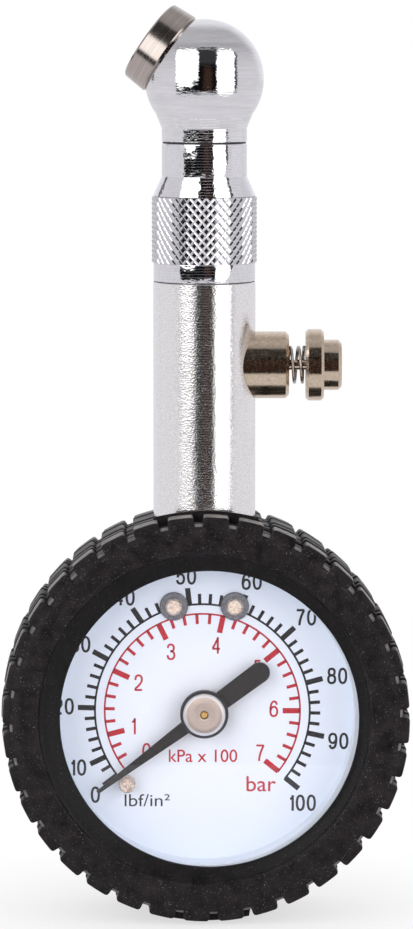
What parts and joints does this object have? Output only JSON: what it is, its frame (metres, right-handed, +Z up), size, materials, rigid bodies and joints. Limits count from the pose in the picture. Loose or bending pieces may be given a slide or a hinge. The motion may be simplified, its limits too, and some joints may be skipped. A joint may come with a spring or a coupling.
{
  "type": "tyre pressure gauge",
  "caption": "Hand-held dial tyre-pressure gauge with a tyre-shaped rubber boot, swivelling ball chuck, knurled collar and side bleed button.",
  "frame": {"origin": "lowest point of the tyre boot's tread, on the stem's axis and the boot's mid-plane", "axes": "+Z up the stem, -Y out of the dial, +X towards the bleed button"},
  "size_m": [0.062, 0.024, 0.1377],
  "materials": {
    "rubber_boot": "moulded, matt",
    "case_steel": "satin black paint",
    "window": "clear polycarbonate",
    "dial_white": "white enamel, printed scale",
    "zinc": "nickel-plated",
    "washer_grey": "zinc-plated",
    "pointer_black": "satin black paint",
    "boss_black": "moulded",
    "nickel_cap": "nickel-plated",
    "brass": "machined",
    "spring_bronze": "drawn tube",
    "spring_steel": "drawn wire",
    "stem_satin": "satin, drawn",
    "chrome_bright": "bright plated",
    "nickel_satin": "satin nickel-plated",
    "champagne": "bright nickel over brass",
    "seal_black": "moulded"
  },
  "bodies": {
    "gauge": {"tyre_boot": "rubber_boot", "gauge_case": "case_steel", "bezel_ring": "case_steel", "lens": "window", "case_screws": "zinc", "dial_plate": "dial_white", "dial_screws": "zinc", "dial_washers": "washer_grey", "stop_pin": "zinc", "movement_front_plate": "brass", "movement_back_plate": "brass", "movement_pillars": "brass", "movement_screws": "zinc", "hairspring": "spring_bronze", "bourdon_tube": "spring_bronze", "socket_block": "brass", "stem_tube": "stem_satin", "check_valve_body": "brass", "check_spring": "spring_steel", "knurled_collar": "chrome_bright", "collar_o_ring": "seal_black", "bleed_housing": "champagne", "bleed_spring": "spring_steel"},
    "chuck": {"ball_head": "chrome_bright", "swivel_o_ring": "seal_black", "swivel_clip": "spring_steel", "nozzle_ring": "nickel_satin", "nozzle_seal": "seal_black", "depressor_pin": "brass"},
    "pointer": {"pointer": "pointer_black", "pointer_boss": "boss_black", "pointer_cap": "nickel_cap", "pinion_arbor": "brass"},
    "sector": {"sector_gear": "brass", "sector_arbor": "brass"},
    "link": {"link": "brass"},
    "tip": {"bourdon_tip": "brass"},
    "button": {"bleed_button": "champagne", "bleed_stem": "brass", "bleed_seal": "seal_black"},
    "check": {"check_poppet": "seal_black"}
  },
  "joints": [
    {"name": "head_swivel", "type": "hinge", "parent": "gauge", "child": "chuck", "pos_m": [0, 0, 0.1171], "axis": [0, 0, 1], "continuous": true},
    {"name": "sector_turn", "type": "hinge", "parent": "gauge", "child": "sector", "pos_m": [-0.01006, 0, 0.02476], "axis": [0, 1, 0], "range_deg": [-28.5, 0], "stiffness_Nm_per_rad": 0.004, "springref_deg": 2.86},
    {"name": "pointer_turn", "type": "hinge", "parent": "gauge", "child": "pointer", "pos_m": [0, 0, 0.0313], "axis": [0, 1, 0], "range_deg": [0, 256.5]},
    {"name": "tip_slide", "type": "slide", "parent": "gauge", "child": "tip", "axis": [0, 0, -1], "range_m": [0, 0.00247]},
    {"name": "link_turn", "type": "hinge", "parent": "sector", "child": "link", "pos_m": [-0.01491, 0, 0.026], "axis": [0, 1, 0], "range_deg": [0, 28.5]},
    {"name": "bleed_press", "type": "slide", "parent": "gauge", "child": "button", "axis": [-1, 0, 0], "range_m": [0, 0.002], "stiffness_N_per_m": 600, "springref_m": -0.0015, "deforming": ["bleed_spring"]},
    {"name": "check_lift", "type": "slide", "parent": "gauge", "child": "check", "axis": [0, 0, -1], "range_m": [0, 0.0008], "stiffness_N_per_m": 100, "springref_m": -0.0005, "deforming": ["check_spring"]}
  ],
  "couplings": [
    {"joint": "pointer_turn", "follows": "sector_turn", "ratio": -9},
    {"joint": "tip_slide", "follows": "sector_turn", "m_per_rad": -0.0049486},
    {"joint": "link_turn", "follows": "sector_turn", "ratio": -1}
  ]
}
